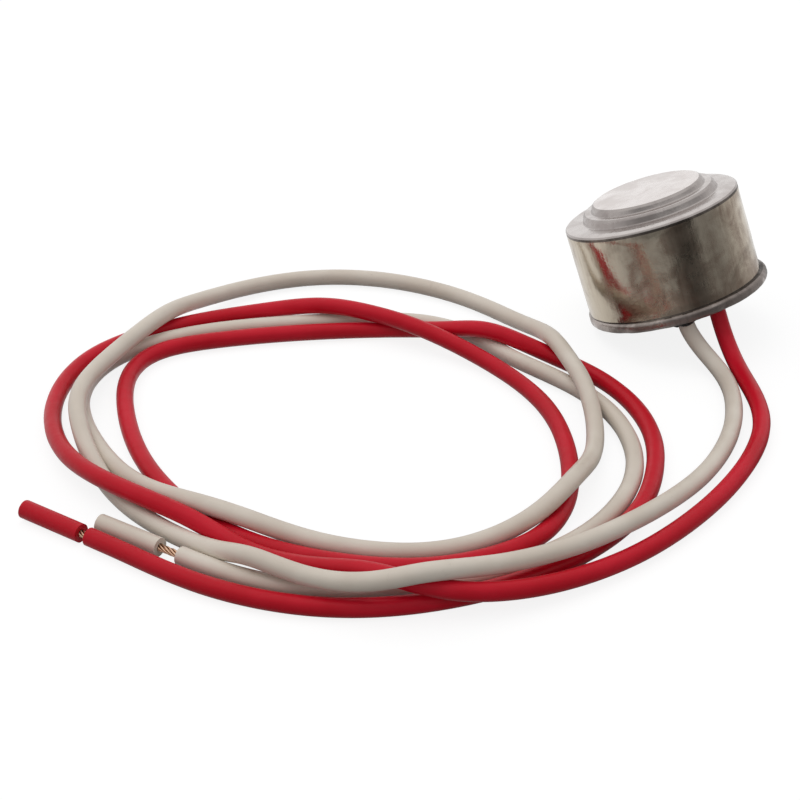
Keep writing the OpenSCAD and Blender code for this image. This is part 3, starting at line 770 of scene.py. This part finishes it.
def twistedStrands(colour):
    p = strandParts
    length = (leadParts["bare"][colour] + p["overlap"] * 2) * mm
    deselectAll()
    made = []
    for k in range(p["wires"] + 1):
        bpy.ops.mesh.primitive_circle_add(vertices=p["sides"], radius=p["wireRadius"] * mm,
                                          fill_type="NGON", location=(0, 0, 0))
        wire = bpy.context.object
        angle = 2 * pi * k / p["wires"]
        out = p["bundleRadius"] * mm if k < p["wires"] else 0
        wire.location = (out * cos(angle), out * sin(angle), 0)
        applyPlace()
        bpy.ops.object.mode_set(mode="EDIT")
        bpy.ops.mesh.select_all(action="SELECT")
        rise = (0, 0, length / p["steps"])
        for step in range(p["steps"]):
            bpy.ops.mesh.extrude_region_move(TRANSFORM_OT_translate={"value": rise})
        closeUp()
        made.append(wire)
        deselectAll()
    for wire in made:
        wire.select_set(True)
    bpy.context.view_layer.objects.active = made[0]
    bpy.ops.object.join()
    bundle = bpy.context.object
    bundle.name = colour + "Strands"
    makeActive(bundle)
    twist = bundle.modifiers.new("twist", "SIMPLE_DEFORM")
    twist.deform_method = "TWIST"
    twist.deform_axis = "Z"
    twist.angle = 2 * pi * p["turnsPerLength"] * length / mm
    bpy.ops.object.modifier_apply(modifier=twist.name)
    bpy.ops.object.shade_smooth_by_angle(angle=radians(p["smoothAngle"]))
    setOnTip(bundle, colour, -p["overlap"])
    coverWith(bundle, "copper")
    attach(bundle, "housing")
    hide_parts(colour + "_strands")
    return bundle


# Loose piece of insulation on the tip: bored through, its cut ends a little uneven
slugParts = {
    "length": 11.0,
    "radius": 1.4,
    "bore": 0.6,
    "rim": 0.16,
    "rimSteps": 3,
    "unevenness": 0.12,
    "cutSize": 1.1,
    "sides": 40,
    "smoothAngle": 45,
    "endNormal": 0.9,        # a face whose normal points along the slug more than this is an end
    "outerShare": 0.98,      # outside is what lies beyond this share of the radius
}


def looseSlug(colour):
    p = slugParts
    deselectAll()
    bpy.ops.mesh.primitive_cylinder_add(vertices=p["sides"], radius=p["radius"] * mm,
                                        depth=p["length"] * mm, end_fill_type="NGON",
                                        location=(0, 0, 0))
    slug = bpy.context.object
    slug.name = colour + "Slug"
    bpy.ops.object.mode_set(mode="EDIT")
    bm = bmesh.from_edit_mesh(slug.data)
    for f in bm.faces:
        f.select = abs(f.normal.z) > p["endNormal"]
    bmesh.update_edit_mesh(slug.data)
    bpy.ops.mesh.inset(thickness=(p["radius"] - p["bore"]) * mm, use_individual=True)
    bpy.ops.mesh.bridge_edge_loops()
    bm = bmesh.from_edit_mesh(slug.data)
    outside = p["radius"] * p["outerShare"] * mm
    for e in bm.edges:
        outer = all(v.co.xy.length > outside for v in e.verts)
        e.select = outer and abs(e.verts[0].co.z - e.verts[1].co.z) < tiny
    bmesh.update_edit_mesh(slug.data)
    bpy.ops.mesh.bevel(offset=p["rim"] * mm, segments=p["rimSteps"], affect="EDGES")
    closeUp()
    makeActive(slug)
    pressClouds(slug, colour + "Cut", p["cutSize"], p["unevenness"])
    bpy.ops.object.shade_smooth_by_angle(angle=radians(p["smoothAngle"]))
    setOnTip(slug, colour, leadParts["bare"][colour] + p["length"] / 2)
    coverWith(slug, colour + "Skin")
    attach(slug, "housing")
    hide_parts(colour + "_slug")
    return slug


for colour in colours:
    bundle = twistedStrands(colour)
    slug = looseSlug(colour)
print("tips made")


# Carries what is selected on from ring to ring, each given by its radius and height in millimetres
def drawRings(radius, height, rings):
    for nextRadius, nextHeight in rings:
        rise = (nextHeight - height) * mm
        bpy.ops.mesh.extrude_region_move(TRANSFORM_OT_translate={"value": (0, 0, rise)})
        grow = nextRadius / radius
        bpy.ops.transform.resize(value=(grow, grow, 1), center_override=(0, 0, nextHeight * mm))
        radius, height = nextRadius, nextHeight


def markVertices(obj, name, wanted):
    group = obj.vertex_groups.new(name=name)
    inside = [v.index for v in obj.data.vertices if wanted(v.co.xy.length / mm, v.co.z / mm)]
    group.add(inside, 1.0, "REPLACE")


def ringAt(bm, radius, height, tolerance=0.02):
    def near(v):
        return (abs(v.co.xy.length / mm - radius) < tolerance
                and abs(v.co.z / mm - height) < tolerance)

    return [e for e in bm.edges if all(near(v) for v in e.verts)]


def roundRing(can, radius, height, size, steps):
    bpy.ops.mesh.select_all(action="DESELECT")
    bm = bmesh.from_edit_mesh(can.data)
    for e in ringAt(bm, radius, height):
        e.select_set(True)
    bmesh.update_edit_mesh(can.data)
    bpy.ops.mesh.bevel(offset=size * mm, segments=steps, affect="EDGES")


# What each part of the sheet is finished in: slanted steps and grooves get painted shade, darker than
# what lies flat
canFinishes = ("tinWall", "tinEnd", "tinLip", "tinStepShade", "tinLedge", "tinCreaseShade")
canBands = {
    "endEdge": 0.1,          # the closed end's finishes begin this far above the crease
    # slanted faces below take the painted shade of the steps
    "slantBelow": 0.9,       # a face whose normal rises less than this is slanted
    # the next two give the painted shade lines in the crease and at the wall's foot
    "creaseShadeBand": 0.28,      # half the height of the dark line in the crease
    "footShadeBand": 0.12,        # and of the one at the wall's foot
}


def canFinishAt(face, crease, wallFoot):
    height, out = face.center.z / mm, face.center.xy.length / mm
    if height > crease + canBands["endEdge"]:
        # slanted faces take the painted shade of the steps
        if face.normal.z < canBands["slantBelow"]:
            return "tinStepShade"
        return "tinLedge" if out > canParts["faceRadius"] else "tinEnd"
    # painted shade lines in the crease and at the wall's foot
    if abs(height - crease) < canBands["creaseShadeBand"] or abs(height - wallFoot) < canBands["footShadeBand"]:
        return "tinCreaseShade"
    return "tinLip" if height < wallFoot else "tinWall"


def drawnCan():
    c = canParts
    sheet, lean, wall, lip = c["sheet"], c["stepLean"], c["wallRadius"], c["lipRadius"]
    face, ring = c["faceRadius"], c["ringRadius"]
    ringHeight, shoulder, top = c["ringHeight"], c["shoulderHeight"], c["height"] - c["faceDrop"]
    wallFoot = c["lipHeight"] + c["lipSlope"]
    crease = shoulder - c["creaseDrop"]
    wallTop = crease - c["creaseWidth"]
    deselectAll()
    bpy.ops.mesh.primitive_circle_add(vertices=c["sides"], radius=(face - lean) * mm, fill_type="NGON",
                                      location=(0, 0, 0))
    can = bpy.context.object
    can.name = "drawnCan"
    bpy.ops.object.mode_set(mode="EDIT")
    bpy.ops.mesh.select_all(action="SELECT")
    bpy.ops.transform.translate(value=(0, 0, top * mm))
    # the rings that the sheet goes through: closed end, shoulder, crease, wall, lip, then back inside
    rings = [(face, ringHeight), (ring - lean, ringHeight), (ring, shoulder)]
    across, down = c["shoulderRound"]
    for k in range(c["shoulderSteps"] + 1):
        angle = pi / 2 * k / c["shoulderSteps"]
        rings.append((wall - across * (1 - sin(angle)), shoulder - down * (1 - cos(angle))))
    rings += [(wall - c["creaseDepth"], crease), (wall, wallTop)]
    for k in range(1, c["wallSteps"] + 1):
        rings.append((wall, wallTop + (wallFoot - wallTop) * k / c["wallSteps"]))
    rings += [(lip, c["lipHeight"]), (lip, 0.0), (wall - sheet, 0.0), (wall - sheet, shoulder - sheet),
              (ring - sheet, shoulder - sheet), (ring - lean - sheet, ringHeight - sheet),
              (face - sheet, ringHeight - sheet), (face - lean - sheet, c["height"] - sheet)]
    drawRings(face - lean, top, rings)
    bpy.ops.mesh.select_all(action="SELECT")
    bpy.ops.mesh.normals_make_consistent(inside=False)
    roundRing(can, face - lean, top, *c["edgeRound"])
    roundRing(can, face, ringHeight, *c["cornerRound"])
    roundRing(can, ring - lean, ringHeight, *c["edgeRound"])
    roundRing(can, ring, shoulder, *c["cornerRound"])
    roundRing(can, wall, wallFoot, *c["footRound"])
    roundRing(can, lip, c["lipHeight"], *c["lipRound"])
    roundRing(can, lip, 0.0, *c["edgeRound"])
    bpy.ops.object.mode_set(mode="OBJECT")
    makeActive(can)
    for v in can.data.vertices:
        if v.co.z < wallFoot * mm and v.co.xy.length > (wall + c["lipStart"]) * mm:
            v.co += Vector(c["lipShift"]) * mm
    # handling left shallow dents all over the wall, and the lip was rolled a little unevenly
    lowest, highest = c["dentHeights"]
    outside = wall * c["outerShare"]
    markVertices(can, "lip", lambda out, height: out > outside and height < wallFoot + c["lipWaveTop"])
    markVertices(can, "wall", lambda out, height: out > outside and lowest < height < highest)
    pressClouds(can, "dents", c["dentSize"], c["dent"], c["pressLevel"], 1, "wall")
    pressClouds(can, "rolled", c["lipWaveSize"], c["lipWave"], c["pressLevel"], 1, "lip")
    can.vertex_groups.clear()
    coverWith(can, *canFinishes)
    for f in can.data.polygons:
        f.material_index = canFinishes.index(canFinishAt(f, crease, wallFoot))
    bpy.ops.object.shade_smooth_by_angle(angle=radians(c["smoothAngle"]))
    setInCan(can)
    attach(can, "housing")
    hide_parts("can")


drawnCan()
print("can made")


# Resin that crept up each lead as it was poured: a low lumpy ring around the insulation
mound = {
    "profile": ((1.46, -0.5), (1.8, -0.75), (2.3, -0.55), (2.75, 0.3), (3.0, 1.5), (1.46, 1.6)),
    "sides": 36,
    "smoothLevels": 2,
    "lumps": 0.9,
    "lumpSize": 1.3,
    "lumpsFrom": 1.7,        # lumps stand out past this radius and under this height only
    "lumpsUnder": 1.0,
}


def resinMound(colour):
    x, y = exits[colour]
    (radius, height), rest = mound["profile"][0], mound["profile"][1:]
    deselectAll()
    bpy.ops.mesh.primitive_circle_add(vertices=mound["sides"], radius=radius * mm, location=(0, 0, 0))
    ring = bpy.context.object
    ring.name = colour + "ResinMound"
    bpy.ops.object.mode_set(mode="EDIT")
    bpy.ops.mesh.select_all(action="SELECT")
    bpy.ops.transform.translate(value=(0, 0, height * mm))
    drawRings(radius, height, rest)
    bpy.ops.mesh.select_all(action="DESELECT")
    bpy.ops.mesh.select_non_manifold()
    bpy.ops.mesh.bridge_edge_loops()
    closeUp()
    makeActive(ring)
    beyond, under = mound["lumpsFrom"], mound["lumpsUnder"]
    markVertices(ring, "outer", lambda out, height: out > beyond and height < under)
    smooth = ring.modifiers.new("smooth", "SUBSURF")
    smooth.levels = smooth.render_levels = mound["smoothLevels"]
    bpy.ops.object.modifier_apply(modifier=smooth.name)
    pressClouds(ring, colour + "Lumps", mound["lumpSize"], mound["lumps"], group="outer")
    bpy.ops.object.shade_smooth()
    ring.vertex_groups.clear()
    ring.matrix_world = Matrix.Translation((x * mm, y * mm, 0))
    applyPlace()
    setInCan(ring)
    coverWith(ring, "resin")
    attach(ring, "housing")


for colour in colours:
    resinMound(colour)
print("resin made")
